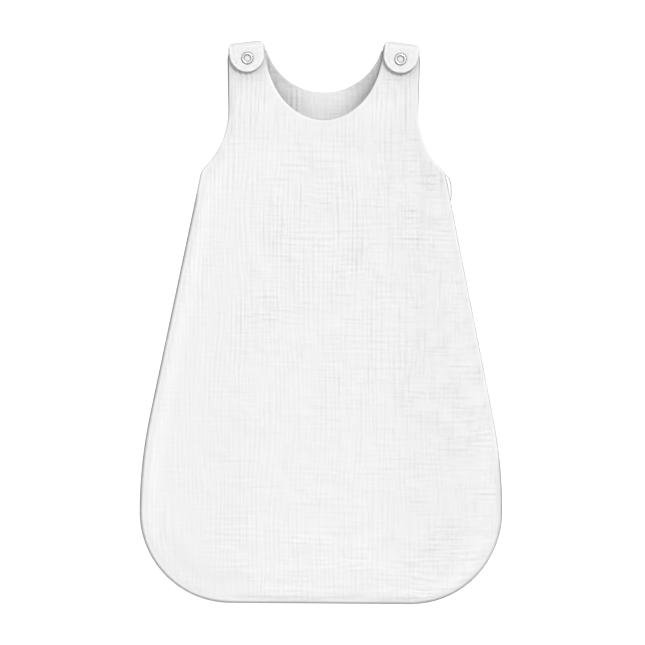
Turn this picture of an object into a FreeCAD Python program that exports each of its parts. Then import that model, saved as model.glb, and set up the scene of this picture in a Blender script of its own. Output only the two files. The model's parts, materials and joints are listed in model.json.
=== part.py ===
"""Baby sleeping bag, 70 cm long: a quilted muslin bag that lies flat on its back.

Millimetres. +X points to the zip side, +Y to the head, +Z up through the front. Right and left in names are as
seen from the front, so right is +X.
The origin is on the rest face, in the middle of the bag. Heights above the hem are called h, so y = h - half_length.
"""
import FreeCAD
import Part
import math
import os

Vector = FreeCAD.Vector

# ---- outline of the bag, seen from above -------------------------------------------------------
bag_length = 700.0
half_length = bag_length / 2
bag_half_width = 225.0
corner_radius = 113.0
hip_radius = 600.0
side_angle = math.radians(11.5)          # how far the straight sides lean in towards the armpits
armpit_radius = 10.0
armhole_radius = 100.0
armhole_top = 612.4                      # h where the armhole runs into the strap's straight edge
strap_outer_x = 117.3
back_neck_radius = 75.0
back_neck_centre = 711.0
front_neck_width = 74.5                  # half axes of the elliptical scoop
front_neck_depth = 100.0
front_neck_centre = 700.0

# ---- shoulders ---------------------------------------------------------------------------------
fold_x = 97.7                            # middle of the fold at the top of each shoulder
fold_h = 697.5
fold_tilt = math.radians(7.0)            # the fold drops towards the arm
fold_radius = 8.6                        # outside of the loop of cloth
tab_half_width = 21.6
strap_half_width = 22.4                  # from the middle of the fold to the arm side of the strap
tab_straight = 14.6                      # from the fold to the centre of the tab's round end
front_strap_start = 7.5                  # the front strap ends this far below the fold
back_lining_start = 4.5
wadding_start = 18.0
front_wadding_top = 652.0                # h; the filling stops short of the snaps
snap_from_fold = 20.6
hinge_gap = 0.1                          # half the slit between back and tab at the fold

# ---- layers, from the rest face up -------------------------------------------------------------
cloth = 1.2
lining = 1.0
wadding = 2.5
layer_gap = 0.1
seam_inset = 10.0                        # the filling stops this far inside the seam
back_wadding_z = cloth + layer_gap
back_lining_z = back_wadding_z + wadding + layer_gap
inside_z = back_lining_z + lining        # the inner face of the back
binding_z = inside_z + layer_gap
binding_width = 8.0
front_edge_z = binding_z + lining + layer_gap    # underside of the front at a plain seam
front_wadding_lift = lining + layer_gap
front_outer_lift = front_wadding_lift + wadding + layer_gap

# ---- how the front rises over the back ---------------------------------------------------------
crown_height = 34.0
crown_reach = 120.0                      # distance from the edge at which the crown is full
crown_full_h = 525.0
crown_end_h = 646.0
zip_edge_rise = 9.6                      # the zip's side wall lifts the front's edge
zip_rise_reach = 150.0                   # how far in from the zip that lift fades out
zip_rise_start = 165.0
zip_rise_full = 238.0
armhole_rise = 15.0
armhole_rise_h = 588.0
armhole_rise_reach = 56.0
surface_columns = 33
surface_rows = 45
surface_margin = 15.0

# ---- zip ---------------------------------------------------------------------------------------
zip_depth = 4.4                          # middle of the tapes, inside the outline
zip_z = 10.0
slider_h = 492.0
zip_travel = 240.0
tape_thickness = 0.6
tape_slit = 2.8                          # between the two tapes
tape_height = 3.6
tape_above = 30.0
tape_below = 262.0
tooth_pitch = 3.2
tooth_length = 1.35
tooth_neck = 0.9
tooth_depth = 2.6
tooth_head = 0.9                         # how far a tooth reaches past the middle
tooth_leg = 1.0
tooth_clearance = 0.05
chain_top = -1.6                         # the last tooth, below the slider's wedge
slider_length = 13.0
slider_width = 8.8
slider_gap = 3.2
slider_plate = 1.2
slider_slot = 1.6
slider_flange = 0.8
wedge_length = 4.6
wedge_width = 2.2
bail_length = 9.0
bail_width = 1.8
bail_opening = 1.75
bail_thickness = 0.8
pull_pin_radius = 0.6
pull_pin_lift = 0.9                      # pin centre above the slider's plate
pull_arm_spread = 2.3
pull_arm_width = 1.2
pull_length = 27.0
pull_width = 6.4
pull_thickness = 1.2
underlap_depth = 9.4
underlap_thickness = 1.0
guard_low = 5.0                          # the zip's cover at the armpit, up from the slider
guard_high = 43.5
guard_bulge = 5.6                        # how far it stands out near its top
guard_wall = 1.2
guard_floor = 12.0                       # how far in from the outline it reaches
stop_length = 3.0

# ---- snaps -------------------------------------------------------------------------------------
ring_radius = 7.7
ring_hole = 4.9
ring_thickness = 1.2
prong_count = 5
prong_circle = 6.3
prong_radius = 0.45
prong_hole = 0.65
socket_radius = 7.2
socket_bore = 4.5
socket_cavity = 5.1
socket_height = 1.9
stud_flange = 7.2
stud_flange_thickness = 0.6
stud_neck = 2.9
stud_head = 3.5
stud_height = 2.5
spring_wire = 0.25
spring_radius = 4.75
pad_radius = 12.5
pad_clearance = 0.35

# ---- levels of a closed shoulder ---------------------------------------------------------------
tab_top_z = 2 * fold_radius
tab_outer_z = tab_top_z - cloth
stiffener_thickness = 0.8
tab_stiffener_z = tab_outer_z - layer_gap - stiffener_thickness
tab_lining_z = tab_stiffener_z - layer_gap - lining
socket_z = tab_lining_z - layer_gap - socket_height
strap_top_z = front_edge_z + front_outer_lift + cloth
stud_z = strap_top_z + 0.2
back_ring_z = inside_z + 0.15
back_ring_thickness = 0.8

# ---- care label --------------------------------------------------------------------------------
label_width = 28.0
label_height = 46.0
label_thickness = 0.4
label_h = 190.0


def at(x, h, z=0.0):
    """A point of the bag from its height above the hem."""
    return Vector(x, h - half_length, z)


def line(a, b):
    return Part.makeLine(at(*a), at(*b))


def arc(centre, radius, start, end):
    """An arc in the plane of the bag, between two angles in radians."""
    points = []
    for angle in (start, (start + end) / 2, end):
        points.append(at(centre[0] + radius * math.cos(angle), centre[1] + radius * math.sin(angle)))
    return Part.Arc(*points).toShape()


def along_line(point, direction, centre, radius, sign):
    """Where a straight line meets a circle: the nearer crossing for sign -1, the farther for 1."""
    dx = point[0] - centre[0]
    dh = point[1] - centre[1]
    forward = dx * direction[0] + dh * direction[1]
    reach = math.sqrt(forward ** 2 - (dx * dx + dh * dh - radius ** 2))
    step = sign * reach - forward
    return (point[0] + step * direction[0], point[1] + step * direction[1])


def angle_of(point, centre):
    return math.atan2(point[1] - centre[1], point[0] - centre[0])


def shoulder_point(across, below):
    """A point of the right shoulder: across along the fold (outwards), below it down the strap."""
    x = fold_x + across * math.cos(fold_tilt) - below * math.sin(fold_tilt)
    h = fold_h - across * math.sin(fold_tilt) - below * math.cos(fold_tilt)
    return (x, h)


hip_centre = (bag_half_width - hip_radius, corner_radius)
armhole_centre = (strap_outer_x + armhole_radius, armhole_top)
side_direction = (-math.sin(side_angle), math.cos(side_angle))
side_normal = (math.cos(side_angle), math.sin(side_angle))


def side_start(inset=0.0):
    """Where the straight side begins, above the hip."""
    radius = hip_radius - inset
    return (hip_centre[0] + radius * side_normal[0], hip_centre[1] + radius * side_normal[1])


def side_edges(inset):
    """The right side from the middle of the hem to the top of the armhole, moved in by inset."""
    corner_centre = (bag_half_width - corner_radius, corner_radius)
    fillet = max(armpit_radius - inset, 1.0)
    start = side_start(inset)
    inner_start = side_start(inset + fillet)
    fillet_centre = along_line(inner_start, side_direction, armhole_centre,
                               armhole_radius + inset + fillet, -1)
    side_end = (fillet_centre[0] + fillet * side_normal[0], fillet_centre[1] + fillet * side_normal[1])
    to_armhole = angle_of(armhole_centre, fillet_centre)
    return [
        line((0.0, inset), (corner_centre[0], inset)),
        arc(corner_centre, corner_radius - inset, -math.pi / 2, 0.0),
        arc(hip_centre, hip_radius - inset, 0.0, side_angle),
        line(start, side_end),
        arc(fillet_centre, fillet, side_angle, to_armhole),
        arc(armhole_centre, armhole_radius + inset, to_armhole - math.pi, -math.pi),
    ]


def both_sides(edges):
    """A face from the right half of an outline and its mirror image."""
    mirrored = [edge.mirror(Vector(0, 0, 0), Vector(1, 0, 0)) for edge in edges]
    wire = Part.Wire(Part.__sortEdges__(edges + mirrored))
    return Part.Face(wire)


def back_face(inset, below):
    """The back's outline, with its straps cut off at a distance below the fold."""
    outer = shoulder_point(strap_half_width - inset, below)
    neck_centre = (0.0, back_neck_centre)
    neck_radius = back_neck_radius + inset
    towards_neck = (-math.cos(fold_tilt), math.sin(fold_tilt))
    inner = along_line(outer, towards_neck, neck_centre, neck_radius, -1)
    edges = side_edges(inset) + [
        line((strap_outer_x - inset, armhole_top), outer),
        line(outer, inner),
        arc(neck_centre, neck_radius, angle_of(inner, neck_centre), -math.pi / 2),
    ]
    return both_sides(edges)


def front_face(inset, below):
    """The front's outline, with a deeper neck than the back."""
    outer = shoulder_point(strap_half_width - inset, below)
    half_width = front_neck_width + inset
    depth = front_neck_depth + inset
    # Squashed in height, the elliptical scoop is a circle, which the strap's end line meets.
    squash = half_width / depth
    squashed = (outer[0], (outer[1] - front_neck_centre) * squash)
    slope = math.atan2(math.sin(fold_tilt) * squash, math.cos(fold_tilt))
    meeting = along_line(squashed, (-math.cos(slope), math.sin(slope)), (0.0, 0.0), half_width, -1)
    inner = (meeting[0], front_neck_centre + meeting[1] / squash)
    neck_bottom = (0.0, front_neck_centre - depth)
    neck_side = (half_width, front_neck_centre)
    ellipse = Part.Ellipse(at(*neck_bottom), at(*neck_side), at(0.0, front_neck_centre))
    edges = side_edges(inset) + [
        line((strap_outer_x - inset, armhole_top), outer),
        line(outer, inner),
        Part.ArcOfEllipse(ellipse, 0.0, math.atan2(meeting[0], -meeting[1])).toShape(),
    ]
    return both_sides(edges)


def raised(face, z, thickness):
    """A flat layer between z and z + thickness."""
    solid = face.extrude(Vector(0, 0, thickness))
    solid.translate(Vector(0, 0, z))
    return solid


def smooth(value):
    """Runs from 0 to 1 with level ends."""
    value = min(max(value, 0.0), 1.0)
    return value * value * (3.0 - 2.0 * value)


def edge_distance(x, h):
    """How far a point is inside the bag's closed edges; the sides run on straight past the armholes."""
    across = abs(x)
    corner_x = bag_half_width - corner_radius
    if h < corner_radius and across > corner_x:
        return corner_radius - math.hypot(across - corner_x, h - corner_radius)
    start = side_start()
    if h < start[1]:
        side = hip_radius - math.hypot(across - hip_centre[0], h - hip_centre[1])
    else:
        side = (start[0] - across) * side_normal[0] + (start[1] - h) * side_normal[1]
    return min(side, h)


def edge_height(x, h):
    """Underside of the front along its edge: low at plain seams, lifted at the zip and the armholes."""
    zip_side = smooth((h - zip_rise_start) / (zip_rise_full - zip_rise_start))
    past_armpit = smooth((crown_end_h - 5.0 - h) / (crown_end_h - armhole_rise_h))
    start = side_start()
    from_zip = (start[0] - x) * side_normal[0] + (start[1] - h) * side_normal[1]
    rise = zip_edge_rise * zip_side * past_armpit * smooth(1.0 - from_zip / zip_rise_reach)
    bump = smooth(1.0 - abs(h - armhole_rise_h) / armhole_rise_reach)
    return front_edge_z + rise + (armhole_rise - rise) * bump


def front_height(x, h):
    """Underside of the front lining."""
    inside = min(max(edge_distance(x, h), 0.0) / crown_reach, 1.0)
    fade = smooth((crown_end_h - h) / (crown_end_h - crown_full_h))
    return edge_height(x, h) + crown_height * inside * (2.0 - inside) * fade


def front_surface():
    """The front's crowned surface, as one smooth sheet over the whole bag."""
    half_x = bag_half_width + surface_margin
    grid = []
    for column in range(surface_columns):
        x = half_x * (2.0 * column / (surface_columns - 1) - 1.0)
        points = []
        for row in range(surface_rows):
            h = (bag_length + 2 * surface_margin) * row / (surface_rows - 1) - surface_margin
            points.append(at(x, h, front_height(x, h)))
        grid.append(points)
    surface = Part.BSplineSurface()
    surface.interpolate(grid)
    return surface.toShape()


def front_layer(surface, face, lift, thickness):
    """One sheet of the front: the crowned surface cut to an outline and given its thickness."""
    sheet = surface.extrude(Vector(0, 0, thickness))
    sheet.translate(Vector(0, 0, lift))
    return sheet.common(raised(face, -1.0, 4 * crown_height))


def mirrored(shape):
    return shape.mirror(Vector(0, 0, 0), Vector(1, 0, 0))


def box_above(h):
    """Everything above a height, for cutting."""
    return Part.makeBox(4 * bag_half_width, bag_length, bag_length,
                        at(-2 * bag_half_width, h, -half_length))


def snap_place():
    return shoulder_point(0.0, snap_from_fold)


def snap_disc(radius, z, height):
    """A round disc on the right snap's centre line."""
    place = snap_place()
    return Part.makeCylinder(radius, height, at(place[0], place[1], z))


def prongs(radius, z, height):
    """The ring of prongs, or the holes that they pass through."""
    place = snap_place()
    pins = []
    for number in range(prong_count):
        angle = 2 * math.pi * number / prong_count
        x = place[0] + prong_circle * math.cos(angle)
        h = place[1] + prong_circle * math.sin(angle)
        pins.append(Part.makeCylinder(radius, height, at(x, h, z)))
    return pins


def pierced(shape, z, height, sides=(1,)):
    """A cloth layer with the small holes that the prongs pass through."""
    holes = prongs(prong_hole, z, height)
    if -1 in sides:
        holes = holes + [mirrored(hole) for hole in holes]
    return shape.cut(holes)


def fold_quarter(upper):
    """A quarter of the cloth loop at the right shoulder; lower on the back, upper on the tab."""
    inner = fold_radius - cloth
    start = shoulder_point(-tab_half_width, fold_radius)
    base = at(start[0], start[1], fold_radius)
    outward = Vector(math.cos(fold_tilt), -math.sin(fold_tilt), 0)
    ring = Part.makeCylinder(fold_radius, 2 * tab_half_width, base, outward)
    ring = ring.cut(Part.makeCylinder(inner, 2 * tab_half_width, base, outward))
    side = 2 * fold_radius
    corner_z = hinge_gap if upper else -side - hinge_gap
    quarter = Part.makeBox(4 * tab_half_width, side, side, Vector(-2 * tab_half_width, 0, corner_z))
    quarter.rotate(Vector(0, 0, 0), Vector(0, 0, 1), -math.degrees(fold_tilt))
    middle = shoulder_point(0.0, fold_radius)
    quarter.translate(at(middle[0], middle[1], fold_radius))
    return ring.common(quarter)


def tab_face(inset, below):
    """The rounded tab in plan, from a distance below the fold to its tip."""
    radius = tab_half_width - inset
    inner = shoulder_point(-radius, below)
    outer = shoulder_point(radius, below)
    inner_end = shoulder_point(-radius, tab_straight)
    outer_end = shoulder_point(radius, tab_straight)
    tip = shoulder_point(0.0, tab_straight + radius)
    edges = [
        line(inner, outer),
        line(outer, outer_end),
        Part.Arc(at(*outer_end), at(*tip), at(*inner_end)).toShape(),
        line(inner_end, inner),
    ]
    return Part.Face(Part.Wire(edges))


def tab_outer():
    flat = raised(tab_face(0.0, fold_radius), tab_outer_z, cloth)
    return pierced(flat.fuse(fold_quarter(True)), tab_outer_z - 1.0, cloth + 2.0).removeSplitter()


def tab_stiffener():
    return pierced(raised(tab_face(2.0, fold_radius + 1.0), tab_stiffener_z, stiffener_thickness),
                   tab_stiffener_z - 1.0, 3.0)


def tab_lining():
    return pierced(raised(tab_face(0.6, fold_radius), tab_lining_z, lining), tab_lining_z - 1.0, 3.0)


def snap_ring():
    """The open ring on the tab, with prongs that reach down into the socket's groove."""
    ring = snap_disc(ring_radius, tab_top_z, ring_thickness)
    ring = ring.cut(snap_disc(ring_hole, tab_top_z, ring_thickness))
    rims = [edge for edge in ring.Edges
            if edge.BoundBox.ZMin > tab_top_z + ring_thickness / 2 and len(edge.Vertexes) == 1]
    ring = ring.makeFillet(ring_thickness * 0.42, rims)
    prong_length = tab_top_z - (socket_z + socket_height - 0.8)
    return ring.fuse(prongs(prong_radius, tab_top_z - prong_length, prong_length + 0.3))


def snap_socket():
    """The socket under the tab: a bored disc with a groove for the prongs and a cavity for the spring."""
    disc = snap_disc(socket_radius, socket_z, socket_height)
    groove = snap_disc(prong_circle + 0.6, socket_z + socket_height - 1.0, 1.0)
    groove = groove.cut(snap_disc(prong_circle - 0.6, socket_z + socket_height - 1.0, 1.0))
    cavity = snap_disc(socket_cavity, socket_z + 0.5, 0.9)
    return disc.cut([snap_disc(socket_bore, socket_z, socket_height), groove, cavity])


def snap_spring():
    """The split ring that rests in the socket's cavity and grips the stud."""
    place = snap_place()
    ring = Part.makeTorus(spring_radius, spring_wire, at(place[0], place[1], socket_z + 0.95))
    slit = Part.makeBox(3 * spring_radius, 1.0, 2.0, at(place[0], place[1] - 0.5, socket_z))
    return ring.cut(slit)


def snap_stud():
    """The stud on the front strap: a flange, a neck and a rounded head."""
    flange = snap_disc(stud_flange, stud_z, stud_flange_thickness)
    neck = snap_disc(stud_neck, stud_z, stud_height)
    head_z = stud_z + stud_height - 1.2
    head = snap_disc(stud_head, head_z, 1.2)
    rims = [edge for edge in head.Edges if len(edge.Vertexes) == 1]
    head = head.makeFillet(0.45, rims)
    groove = snap_disc(prong_circle + 0.6, stud_z, 0.4)
    groove = groove.cut(snap_disc(prong_circle - 0.6, stud_z, 0.4))
    return flange.fuse([neck, head]).cut(groove)


def snap_back_ring():
    """The prong ring inside the front strap, its prongs reaching up into the stud's flange."""
    ring = snap_disc(ring_radius, back_ring_z, back_ring_thickness)
    ring = ring.cut(snap_disc(ring_hole, back_ring_z, back_ring_thickness))
    top = back_ring_z + back_ring_thickness
    return ring.fuse(prongs(prong_radius, top - 0.3, stud_z + 0.3 - top + 0.3))


def strap_reinforcement():
    low = front_edge_z + front_wadding_lift + pad_clearance
    pad = snap_disc(pad_radius, low, wadding - 2 * pad_clearance)
    return pierced(pad, low - 1.0, wadding + 2.0)


def in_zip(shape):
    """Moves a shape from the zip's own frame to the side of the bag.

    In that frame x runs out of the bag from its outline, y up the zip from the slider's middle, z up.
    """
    base = side_start()
    rise = (slider_h - base[1]) / side_direction[1]
    x = base[0] + rise * side_direction[0]
    shape.rotate(Vector(0, 0, 0), Vector(0, 0, 1), math.degrees(side_angle))
    shape.translate(at(x, slider_h, zip_z))
    return shape


def zip_box(x0, x1, y0, y1, z0, z1):
    return Part.makeBox(x1 - x0, y1 - y0, z1 - z0, Vector(x0, y0, z0))


def zip_tape(sign):
    """One tape, standing on edge above (1) or below (-1) the middle of the zip."""
    near = tape_slit / 2
    low, high = sorted((sign * near, sign * (near + tape_height)))
    half = tape_thickness / 2
    return in_zip(zip_box(-zip_depth - half, -zip_depth + half, -tape_below, tape_above, low, high))


def tooth(sign):
    """One moulded tooth: legs that clamp the tape, a narrow neck and a wide head past the middle."""
    root = tape_slit / 2 - tooth_clearance
    neck = tooth_neck / 2
    head = tooth_length / 2
    outline = [
        (-head, root + tooth_leg), (-head, root), (-neck, root * 0.55), (-head, -0.15), (-neck, -tooth_head),
        (neck, -tooth_head), (head, -0.15), (neck, root * 0.55), (head, root), (head, root + tooth_leg),
    ]
    points = [Vector(-zip_depth - tooth_depth / 2, y, sign * z) for y, z in outline]
    body = Part.Face(Part.makePolygon(points + points[:1])).extrude(Vector(tooth_depth, 0, 0))
    slot = tape_thickness / 2 + tooth_clearance
    low, high = sorted((sign * root, sign * (root + 2 * tooth_leg)))
    return body.cut(zip_box(-zip_depth - slot, -zip_depth + slot, -tooth_length, tooth_length, low, high))


def zip_teeth(sign):
    """One row of teeth; the other row is half a pitch away."""
    shift = 0.0 if sign > 0 else tooth_pitch / 2
    count = int((zip_travel + chain_top) / tooth_pitch)
    single = tooth(sign)
    row = []
    for number in range(count):
        copy = single.copy()
        copy.translate(Vector(0, chain_top - shift - number * tooth_pitch, 0))
        row.append(copy)
    return in_zip(Part.makeCompound(row))


def zip_stop(y0, y1, z0, z1):
    """A block clamped over the tapes' edges."""
    half = tooth_depth / 2
    block = zip_box(-zip_depth - half, -zip_depth + half, y0, y1, z0, z1)
    slot = tape_thickness / 2 + tooth_clearance
    root = tape_slit / 2 - tooth_clearance
    slots = []
    for sign in (1, -1):
        low, high = sorted((sign * root, sign * (root + tape_height)))
        slots.append(zip_box(-zip_depth - slot, -zip_depth + slot, y0, y1, low, high))
    return block.cut(slots)


def zip_top_stops():
    low = slider_length / 2 + 1.0
    reach = tape_slit / 2 + tooth_leg
    stops = [zip_stop(low, low + stop_length, 0.9, reach), zip_stop(low, low + stop_length, -reach, -0.9)]
    return in_zip(Part.makeCompound(stops))


def zip_bottom_stop():
    high = -zip_travel - slider_length / 2 - 0.5
    reach = tape_slit / 2 + tooth_leg
    return in_zip(zip_stop(high - 1.6 * stop_length, high, -reach, reach))


def slider_plate_top():
    """Outer face of the slider's outer plate, in the zip's frame."""
    return -zip_depth + slider_gap / 2 + slider_plate


def slider_outline():
    """The slider's plate in the plane of the tapes: narrow below, flared above the wedge."""
    half = slider_width / 2
    low = -slider_length / 2
    high = slider_length / 2
    waist = 0.78 * half
    return [
        (low, -waist), (low, waist), (-1.0, waist), (2.0, half), (high - 1.5, half), (high, half - 1.2),
        (high, -half + 1.2), (high - 1.5, -half), (2.0, -half), (-1.0, -waist),
    ]


def zip_slider():
    """Two plates joined by a wedge, flanges that guide the teeth, and the bail that holds the pull."""
    low_x = -zip_depth - slider_gap / 2 - slider_plate
    points = [Vector(low_x, y, z) for y, z in slider_outline()]
    depth = slider_gap + 2 * slider_plate
    block = Part.Face(Part.makePolygon(points + points[:1])).extrude(Vector(depth, 0, 0))
    half = slider_width / 2
    waist = 0.78 * half
    gap = slider_gap / 2
    channel = zip_box(-zip_depth - gap, -zip_depth + gap, -slider_length, slider_length,
                      -waist + slider_flange, waist - slider_flange)
    slot = zip_box(-zip_depth - slider_slot / 2, -zip_depth + slider_slot / 2, -slider_length,
                   slider_length, -half, half)
    flare = zip_box(-zip_depth - gap, -zip_depth + gap, 0.5, slider_length, -half + slider_flange,
                    half - slider_flange)
    body = block.cut([channel, slot, flare])
    wedge_top = slider_length / 2 - 0.4
    middle = wedge_top - wedge_length / 2
    wedge_points = [
        Vector(-zip_depth - gap, wedge_top, 0), Vector(-zip_depth - gap, middle, wedge_width / 2),
        Vector(-zip_depth - gap, wedge_top - wedge_length, 0),
        Vector(-zip_depth - gap, middle, -wedge_width / 2),
    ]
    wedge = Part.Face(Part.makePolygon(wedge_points + wedge_points[:1])).extrude(Vector(slider_gap, 0, 0))
    top = slider_plate_top()
    bail = zip_box(top, top + bail_opening + bail_thickness, -bail_length / 2, bail_length / 2,
                   -bail_width / 2, bail_width / 2)
    corners = [edge for edge in bail.Edges
               if edge.BoundBox.XMin > top + bail_opening and edge.BoundBox.YLength < 0.01]
    bail = bail.makeFillet(1.2, corners)
    opening = zip_box(top, top + bail_opening, -bail_length / 2 + 1.4, bail_length / 2 - 1.4,
                      -bail_width, bail_width)
    return in_zip(body.fuse([wedge, bail.cut(opening)]).removeSplitter())


def pull_axis():
    """The pull's pin in the zip's frame: how far out, and how far up the slider."""
    return (slider_plate_top() + pull_pin_lift, 0.0)


def zip_pull():
    """A pin under the bail, two arms, and a rounded grip with a window in it."""
    x, y = pull_axis()
    spread = pull_arm_spread + pull_arm_width / 2
    pin = Part.makeCylinder(pull_pin_radius, 2 * spread, Vector(x, y, -spread))
    half = pull_thickness / 2
    grip_top = -slider_length / 2 - 1.0
    parts = []
    for sign in (1, -1):
        inner, outer = sorted((sign * (pull_arm_spread - pull_arm_width / 2), sign * spread))
        parts.append(zip_box(x - half, x + half, grip_top - 1.0, y, inner, outer))
        parts.append(Part.makeCylinder(pull_thickness / 2, outer - inner, Vector(x, y, inner)))
    grip = zip_box(x - half, x + half, -pull_length, grip_top, -pull_width / 2, pull_width / 2)
    corners = [edge for edge in grip.Edges if edge.BoundBox.XLength > half]
    grip = grip.makeFillet(pull_width * 0.36, corners)
    window = zip_box(x - pull_thickness, x + pull_thickness, grip_top - 12.0, grip_top - 4.0, -1.4, 1.4)
    edges = [edge for edge in window.Edges if edge.BoundBox.XLength > half]
    window = window.makeFillet(1.3, edges)
    return in_zip(pin.fuse(parts + [grip.cut(window)]).removeSplitter())


def zip_underlap():
    """The strip of cloth behind the zip."""
    height = tape_slit / 2 + tape_height
    return in_zip(zip_box(-underlap_depth, -underlap_depth + underlap_thickness, -tape_below, tape_above,
                          -height, height))


def guard_region(inset):
    """The plan of the zip's cover, in the zip's frame: straight inside, bulging out towards its top."""
    high = guard_high - inset
    points = [
        Vector(-0.3, guard_low, 0), Vector(0.5 * guard_bulge, guard_low + 9.5, 0),
        Vector(0.9 * guard_bulge, guard_low + 19.5, 0), Vector(guard_bulge, guard_low + 29.0, 0),
        Vector(0.6 * guard_bulge, guard_high - 3.0, 0), Vector(-1.5, high, 0),
    ]
    for point in points[:-1]:
        point.x = point.x - inset
    curve = Part.BSplineCurve()
    curve.interpolate(points)
    back_top = Vector(-guard_floor, high, 0)
    back_low = Vector(-guard_floor, guard_low, 0)
    return Part.Face(Part.Wire([
        curve.toShape(),
        Part.makeLine(points[-1], back_top),
        Part.makeLine(back_top, back_low),
        Part.makeLine(back_low, points[0]),
    ]))


def armpit_guard():
    """The curved cloth cover round the top end of the zip, closed towards the armpit."""
    height = 2 * (tape_slit / 2 + tape_height)
    wall = guard_region(0.0).extrude(Vector(0, 0, height))
    wall = wall.cut(guard_region(guard_wall).extrude(Vector(0, 0, height)))
    wall.translate(Vector(0, 0, -height / 2))
    return in_zip(wall)


def front_outer(surface):
    layer = front_layer(surface, front_face(0.0, front_strap_start), front_outer_lift, cloth)
    return pierced(layer, 0.0, crown_height, (1, -1))


def front_wadding(surface):
    layer = front_layer(surface, front_face(seam_inset, wadding_start), front_wadding_lift, wadding)
    return layer.cut(box_above(front_wadding_top))


def front_lining(surface):
    layer = front_layer(surface, front_face(0.0, front_strap_start), 0.0, lining)
    return pierced(layer, 0.0, crown_height, (1, -1))


def back_outer():
    """The back with the lower halves of the shoulder folds."""
    flat = raised(back_face(0.0, fold_radius), 0.0, cloth)
    lip = fold_quarter(False)
    return flat.fuse([lip, mirrored(lip)]).removeSplitter()


def back_wadding():
    return raised(back_face(seam_inset, wadding_start), back_wadding_z, wadding)


def back_lining():
    return raised(back_face(0.0, back_lining_start), back_lining_z, lining)


def seam_binding():
    """A strip inside the closed seam: down the left side, round the hem, up to the zip."""
    outer = raised(back_face(0.5, fold_radius), binding_z, lining)
    inner = raised(back_face(0.5 + binding_width, fold_radius + 4.0), binding_z - 1.0, lining + 2.0)
    ring = outer.cut(inner)
    right = Part.makeBox(bag_half_width * 2, bag_length, 40.0, at(0.0, zip_rise_start + 10.0, -5.0))
    left = Part.makeBox(bag_half_width * 2, bag_length, 40.0, at(-2 * bag_half_width, 505.0, -5.0))
    return ring.cut([right, left])


def care_label():
    """A blank label held in the left seam."""
    outer_x = -(side_start()[0] - seam_inset - 4.0)
    return Part.makeBox(label_width, label_height, label_thickness, at(outer_x, label_h, binding_z))


def save(name, shape):
    for solid in shape.Solids:
        if not solid.isValid():
            raise ValueError(name + " holds a solid that is not valid")
    if not shape.Solids:
        raise ValueError(name + " holds no solid")
    solids = shape.Solids
    result = solids[0] if len(solids) == 1 else Part.makeCompound(solids)
    result.exportStep("parts/" + name + ".step")


def main():
    os.makedirs("parts", exist_ok=True)
    surface = front_surface()
    save("front_outer", front_outer(surface))
    save("front_wadding", front_wadding(surface))
    save("front_lining", front_lining(surface))
    save("back_outer", back_outer())
    save("back_wadding", back_wadding())
    save("back_lining", back_lining())
    save("seam_binding", seam_binding())
    save("care_label", care_label())
    shoulder = {
        "tab_outer": tab_outer(),
        "tab_stiffener": tab_stiffener(),
        "tab_lining": tab_lining(),
        "snap_ring": snap_ring(),
        "snap_socket": snap_socket(),
        "snap_spring": snap_spring(),
    }
    for name, shape in shoulder.items():
        save(name + "_right", shape)
        save(name + "_left", mirrored(shape))
    pairs = {
        "snap_studs": snap_stud(),
        "snap_back_rings": snap_back_ring(),
        "strap_reinforcements": strap_reinforcement(),
    }
    for name, shape in pairs.items():
        save(name, Part.makeCompound([shape, mirrored(shape)]))
    for name, sign in (("front", 1), ("back", -1)):
        save("zip_tape_" + name, zip_tape(sign))
        save("zip_teeth_" + name, zip_teeth(sign))
    save("zip_top_stops", zip_top_stops())
    save("zip_bottom_stop", zip_bottom_stop())
    save("zip_slider", zip_slider())
    save("zip_pull", zip_pull())
    save("zip_underlap", zip_underlap())
    save("armpit_guard", armpit_guard())


main()
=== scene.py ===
"""The looks of a baby sleeping bag in crinkled double-gauze muslin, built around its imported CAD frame.

Lengths in this script are millimetres until a mesh is made, and every place comes from the frame.
Cloth panels are closed shells: a fine crinkled grid on the face that shows, a rolled edge all round, and a
coarse inner face. The front is first settled by cloth simulation. Fasteners keep their CAD shape, except the
rings seen on the tabs.
"""
import bpy
import json
import math
import numpy as np
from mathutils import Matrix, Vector, geometry
from mathutils.bvhtree import BVHTree
from mathutils.kdtree import KDTree


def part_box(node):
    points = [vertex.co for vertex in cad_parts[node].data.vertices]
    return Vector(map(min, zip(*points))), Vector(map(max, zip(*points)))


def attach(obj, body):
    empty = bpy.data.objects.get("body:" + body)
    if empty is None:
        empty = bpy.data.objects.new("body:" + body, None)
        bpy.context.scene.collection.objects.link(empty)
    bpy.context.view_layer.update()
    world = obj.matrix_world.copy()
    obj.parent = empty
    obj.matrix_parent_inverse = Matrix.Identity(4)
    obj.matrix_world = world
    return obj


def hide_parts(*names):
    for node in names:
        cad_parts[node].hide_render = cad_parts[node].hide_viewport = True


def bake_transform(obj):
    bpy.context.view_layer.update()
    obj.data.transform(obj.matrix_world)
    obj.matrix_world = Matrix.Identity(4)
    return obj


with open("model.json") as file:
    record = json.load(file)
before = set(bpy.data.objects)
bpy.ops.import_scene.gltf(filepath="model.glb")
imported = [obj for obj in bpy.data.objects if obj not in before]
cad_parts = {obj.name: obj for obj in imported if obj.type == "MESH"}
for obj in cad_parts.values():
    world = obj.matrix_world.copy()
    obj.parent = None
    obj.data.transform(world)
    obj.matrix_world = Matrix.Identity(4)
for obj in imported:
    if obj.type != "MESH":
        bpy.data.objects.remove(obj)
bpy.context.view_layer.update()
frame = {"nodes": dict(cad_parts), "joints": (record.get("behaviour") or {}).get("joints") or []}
scene = bpy.context.scene

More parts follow.
